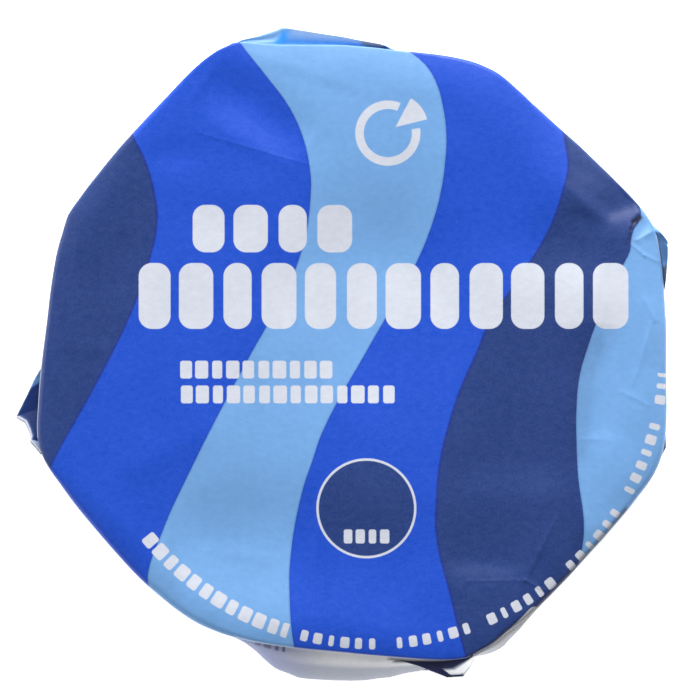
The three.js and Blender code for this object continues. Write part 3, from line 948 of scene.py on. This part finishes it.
def sheetRelief(flat, onFace, run, acrossSide):
    total = 0
    for size, height in wrap["unevenness"]:
        total += height * noise.noise(Vector((flat.x / size, flat.y / size, size)))
    if onFace > 0:
        raised = faceWrinkles(flat)
        limit, give = wrap["ridgeLimit"]
        if raised > limit:
            raised = limit + give * (1 - math.exp((limit - raised) / give))
        total += onFace * raised
    if onFace < 1:
        gathers = wrap["gathers"]
        nearCorner = lerp(gathers["midSide"], 1, smoothPart(abs(acrossSide), *gathers["across"]))
        place = Vector((acrossSide / gathers["width"], run / gathers["length"], gathers["slice"]))
        grown = nearCorner * noise.noise(place) * smoothPart(run, *gathers["down"])
        total += (1 - onFace) * gathers["height"] * grown
    return total


def pocketPart(pocket, knot, direction):
    # how far into a lip's pocket a place lies, from 0 to 1, which sets its painted light and shade
    starts, ends, (start, whole, held, end), _, _ = pocket
    part = clampPart((knot - start) / (end - start))
    first, last, soft = lerp(*starts, part), lerp(*ends, part), wrap["pocketEdge"]
    begun = smoothPart(direction, first - soft, first + soft)
    ended = smoothPart(direction, last - soft, last + soft)
    return smoothPart(knot, start, whole) * (1 - smoothPart(knot, held, end)) * begun * (1 - ended)


cornerReach = [foldReach(sideEnds(side)[1]) for side in range(len(wrap["pleatCorners"]))]


def wrapSheet():
    columns, rings = sideColumns(), wrapRings()
    acrossCount = len(wrap["pleatCorners"]) * len(columns)
    bm = bmesh.new()
    bmesh.ops.create_grid(bm, x_segments=acrossCount, y_segments=len(rings) - 1, size=0.5)
    bm.verts.ensure_lookup_table()
    layers = {name: bm.verts.layers.float.new(name) for name in ("foldWear", "paintedLightThrough", "paintedFoldShade")}
    sheetLayer = bm.loops.layers.uv.new("sheet")
    flats, pleatFlats = [], []
    for index, vertex in enumerate(bm.verts):
        row, columnIndex = divmod(index, acrossCount + 1)
        side, inSide = divmod(columnIndex % acrossCount, len(columns))
        ring, (kind, value) = rings[row], columns[inSide]
        direction, under = columnPlace(side, kind, value, wallTop - ring["height"], ring["grown"])
        angle = direction % fullTurn
        swung = direction - wrap["underSwing"] * ring["inwards"]
        here = foldShape(swung)
        here.update({"reach": foldReach(swung), "under": under, "lip": standOff(wrap["rimLips"], swung),
                     "turned": aroundValue(wrap["lipTurns"], swung),
                     "swell": standOff(wrap["wallSwells"], swung)})
        radius, height, run = ring["place"](ring, here)
        if run > 0:
            straight = heading(direction) * radius
            flat = flatPlace(side, kind != "panel", direction, straight, run)
            pleatFlat = flatPlace(side, True, direction, straight, run) if kind == "panel" else flat
            acrossSide = straight.dot(sideAxes(side)[1])
        else:
            flat = pleatFlat = heading(swung) * radius
            acrossSide = 0
        flats.append(flat)
        pleatFlats.append(pleatFlat)
        relief = sheetRelief(flat, ring["onFace"], run, acrossSide)
        point = heading(swung) * (radius + relief * ring["out"])
        vertex.co = Vector((*point, height + relief * ring["up"])) * mm
        # painted highlight and painted shade along the folds
        for start, end, middle, width, strength, layer in wrap["foldLights"]:
            if start <= angle < end:
                part = run / (here["round"] * here["turn"])
                fade = math.exp(-((part - middle) / width) ** 2) * smoothPart(part, 0, wrap["lightEase"])
                vertex[layers[layer]] = strength * fade
        # painted light and shade in the lips' pockets
        for pocket in wrap["pockets"] if "knot" in ring else []:
            depth = pocketPart(pocket, ring["knot"], angle) * smoothPart(here["lip"], *wrap["pocketLip"])
            layer, strength = layers[pocket[3]], pocket[4]
            vertex[layer] = max(vertex[layer], strength * depth)
    for face in bm.faces:
        lowest = min(loop.vert.index % (acrossCount + 1) for loop in face.loops)
        atCrease = lowest % len(columns) == wrap["panelColumns"]
        for loop in face.loops:
            loop[sheetLayer].uv = (pleatFlats if atCrease else flats)[loop.vert.index]
    bmesh.ops.remove_doubles(bm, verts=bm.verts[:], dist=wrap["mergeDistance"] * mm)
    return meshFrom(bm, wrap["name"])


coatedPaper = printedPaper()
barePaper = plainPaper()
print("materials made")

wrapPiece = finishPiece(wrapSheet(), wrap["name"], [coatedPaper])
print("wrap made:", len(wrapPiece.data.polygons), "faces")


# Loose ears of paper at two pleats. Each is a double layer, printed on its outer sides, between its
# root on the wall and its free edge, both given from the same end. Its first part is pale, then comes
# a cut edge, which shows the white of the paper. From a part of the length on the sheet's white back
# is turned up between two parts of the way across, with a printed rim outside it near its start.
# Painted shade darkens each ear's print, from one strength at its root to another at its free edge.
ears = {
    "thickness": 0.13,
    "gap": 0.28,
    "opening": 0.25,  # how much further apart the layers are at the free edge
    "rows": 14,
    "columnsPerKnot": 12,
    "cutWear": 0.6,
    "cutEdge": (0.91, 0.99),
    "rimEnd": (0.6, 0.66),
    "rimSoft": 0.05,
    "backSoft": 0.06,
    "mergeDistance": 0.01,
    "pieces": [
        {
            "name": "left_ear",
            "root": [(-41.5, -13.6, 14.5), (-41.2, -9.0, 6.5), (-41.2, -1.2, 2.9)],
            "free": [(-42.7, -13.9, 19.6), (-44.3, -12.2, 17.5), (-44.2, -11.7, 16.6), (-44.6, -10.8, 15.0),
                     (-45.25, -9.7, 13.0), (-46.6, -9.05, 11.0), (-45.4, -6.4, 8.5), (-44.4, -3.9, 5.6),
                     (-43.0, -1.4, 3.6)],
            "arch": -0.3,
            "sheetFrom": (-34.3, 0.0),
            "sheetAlong": (-10.0, 1.0),
            "sheetAcross": (-0.8, 0.4),
            "paleEnd": 0.13,
            "paleness": 0.6,
            "cutEnd": 0.62,
            "back": (1, 1, 1),
            "paintedFoldShade": (0.8, 0.5),
        },
        {
            "name": "lower_ear",
            "root": [(4.4, -41.2, 24.05), (9.8, -41.4, 24.0), (15.4, -40.9, 23.95)],
            "free": [(4.5, -41.55, 24.0), (8.4, -42.7, 23.85), (12.35, -44.25, 23.9), (14.5, -44.1, 24.4),
                     (15.4, -42.8, 24.6), (16.0, -41.6, 24.5)],
            "arch": -0.05,
            "sheetFrom": (17.0, -28.0),
            "sheetAlong": (5.0, 0.0),
            "sheetAcross": (0.0, -3.0),
            "paleEnd": 0,
            "paleness": 0,
            "cutEnd": 0,
            "back": (0.47, 0.62, 0.86),
            "paintedFoldShade": (0.9, 0.8),
        },
    ],
}



def curvePoint(points, part):
    place = part * (len(points) - 1)
    return Vector([splineValue([point[axis] for point in points], place) for axis in range(3)])


def linePoint(points, part):
    place = part * (len(points) - 1)
    i = min(int(place), len(points) - 2)
    return Vector(points[i]).lerp(Vector(points[i + 1]), place - i)


def earSheet(ear, isOuter):
    bm = bmesh.new()
    columns = ears["columnsPerKnot"] * (len(ear["free"]) - 1)
    bmesh.ops.create_grid(bm, x_segments=columns, y_segments=ears["rows"], size=0.5)
    sheetLayer = bm.loops.layers.uv.new("sheet")
    wearLayer = bm.verts.layers.float.new("foldWear")
    foldLayer = bm.verts.layers.float.new("paintedFoldShade")
    flats = {}
    rootStart = curvePoint(ear["root"], 0)
    edge = curvePoint(ear["root"], 1) - rootStart
    upward = edge.cross(linePoint(ear["free"], 0.5) - rootStart).normalized()
    if upward.z < 0:
        upward = -upward
    for vertex in bm.verts:
        along, across = vertex.co.x + 0.5, vertex.co.y + 0.5
        point = curvePoint(ear["root"], along).lerp(linePoint(ear["free"], along), across)
        lift = ear["arch"] * math.sin(math.pi * across) * math.sin(math.pi * along)
        if isOuter:
            lift -= ears["gap"] + ears["opening"] * across
        vertex.co = (point + upward * lift) * mm
        if along < ear["paleEnd"]:
            vertex[wearLayer] = ear["paleness"]
        elif along < ear["cutEnd"]:
            vertex[wearLayer] = ears["cutWear"] * smoothPart(across, *ears["cutEdge"])
        elif along > ear["back"][0]:
            # the printed rim below the tip is about as long as the cut beside it
            start, end = ear["back"][1:]
            rim = smoothPart(across, end, end + ears["rimSoft"]) * (1 - smoothPart(along, *ears["rimEnd"]))
            vertex[wearLayer] = smoothPart(across, start, start + ears["backSoft"]) * (1 - rim)
        # painted shade over the ear's print, from the root's strength to the free edge's
        vertex[foldLayer] = lerp(*ear["paintedFoldShade"], across) * (1 - vertex[wearLayer])
        flats[vertex] = (Vector(ear["sheetFrom"]) + Vector(ear["sheetAlong"]) * along
                         + Vector(ear["sheetAcross"]) * across)
    for face in bm.faces:
        for loop in face.loops:
            loop[sheetLayer].uv = flats[loop.vert]
    bmesh.ops.remove_doubles(bm, verts=bm.verts[:], dist=ears["mergeDistance"] * mm)
    bm.normal_update()
    facing = sum(face.normal.dot(upward) for face in bm.faces)
    if (facing < 0) != isOuter:
        bmesh.ops.reverse_faces(bm, faces=bm.faces[:])
    return meshFrom(bm, ear["name"])


for ear in ears["pieces"]:
    for layerName, isOuter in (("inner", False), ("outer", True)):
        piece = finishPiece(earSheet(ear, isOuter), f"{ear['name']}_{layerName}", [coatedPaper, barePaper])
        thickness = piece.modifiers.new("thickness", "SOLIDIFY")
        thickness.thickness = ears["thickness"] * mm
        thickness.offset = -1
        thickness.material_offset = 1
        thickness.material_offset_rim = 1
print("ears made")

# The label that closes the underside: a thin disc of plain paper
label = {"name": "round_label", "radius": 17, "thickness": 0.15, "edge": 0.04, "segments": 128,
         "sharpAngle": 45, "edgeSegments": 2}


def labelDisc():
    bm = bmesh.new()
    bmesh.ops.create_circle(bm, cap_ends=True, segments=label["segments"], radius=label["radius"] * mm)
    body = bmesh.ops.extrude_face_region(bm, geom=bm.faces[:])
    raised = [item for item in body["geom"] if isinstance(item, bmesh.types.BMVert)]
    bmesh.ops.translate(bm, verts=raised, vec=(0, 0, label["thickness"] * mm))
    bmesh.ops.recalc_face_normals(bm, faces=bm.faces[:])
    rims = [edge for edge in bm.edges if edge.calc_face_angle(0) > math.radians(label["sharpAngle"])]
    bmesh.ops.bevel(bm, geom=rims, offset=label["edge"] * mm, segments=label["edgeSegments"], affect="EDGES",
                    profile=0.5, material=-1)
    sheetLayer = bm.loops.layers.uv.new("sheet")
    for face in bm.faces:
        for loop in face.loops:
            loop[sheetLayer].uv = loop.vert.co.xy / mm
    return meshFrom(bm, label["name"])


finishPiece(labelDisc(), label["name"], [barePaper], isSmooth=False)
print("label made")

# Camera, floor and lights: straight above the face, as the photograph is taken
studio = {
    "cameraPlace": (-0.00081, 0, 0.8254),
    "lens": 304.8,
    "sensor": 36,
    "clip": (0.01, 10),
    "floorSize": 1.5,
    "floorDrop": 0.0001,
    "floorColour": "#f4f4f4",
    "floorGlow": 0.88,
    "floorRoughness": 0.9,
    "worldColour": "#ffffff",
    "worldStrength": 0.22,
    # name, place, size and power of each soft light, all aimed at the pack; places and sizes in metres
    "lights": [
        ("key_softbox", (0.12, 0.95, 0.52), 0.6, 15.5),
        ("left_softbox", (-0.95, 0.15, 0.5), 0.6, 4.6),
        ("right_softbox", (0.85, 0.15, 0.7), 0.6, 1.2),
    ],
}

cameraData = bpy.data.cameras.new("camera")
cameraData.lens = studio["lens"]
cameraData.sensor_width = studio["sensor"]
cameraData.clip_start, cameraData.clip_end = studio["clip"]
camera = addObject("camera", cameraData)
camera.location = studio["cameraPlace"]
bpy.context.scene.camera = camera
bpy.context.scene.view_settings.view_transform = "Standard"

bm = bmesh.new()
bmesh.ops.create_grid(bm, x_segments=1, y_segments=1, size=studio["floorSize"],
                      matrix=Matrix.Translation((0, 0, -studio["floorDrop"])))
floor = addObject("floor", meshFrom(bm, "floor"))
floorMaterial, floorTree, floorShader = emptyMaterial("pale_floor")
floorShader.inputs["Base Color"].default_value = linearColour(studio["floorColour"])
floorShader.inputs["Roughness"].default_value = studio["floorRoughness"]
floorShader.inputs["Emission Color"].default_value = linearColour(studio["floorColour"])
floorShader.inputs["Emission Strength"].default_value = studio["floorGlow"]
floor.data.materials.append(floorMaterial)

world = bpy.data.worlds.new("studio")
bpy.context.scene.world = world
world.use_nodes = True
background = world.node_tree.nodes["Background"]
background.inputs[0].default_value = linearColour(studio["worldColour"])
background.inputs[1].default_value = studio["worldStrength"]

for name, place, size, power in studio["lights"]:
    lightData = bpy.data.lights.new(name, "AREA")
    lightData.size = size
    lightData.energy = power
    lamp = addObject(name, lightData)
    lamp.location = place
    lamp.rotation_euler = (-Vector(place)).to_track_quat("-Z", "Y").to_euler()
print("studio made")
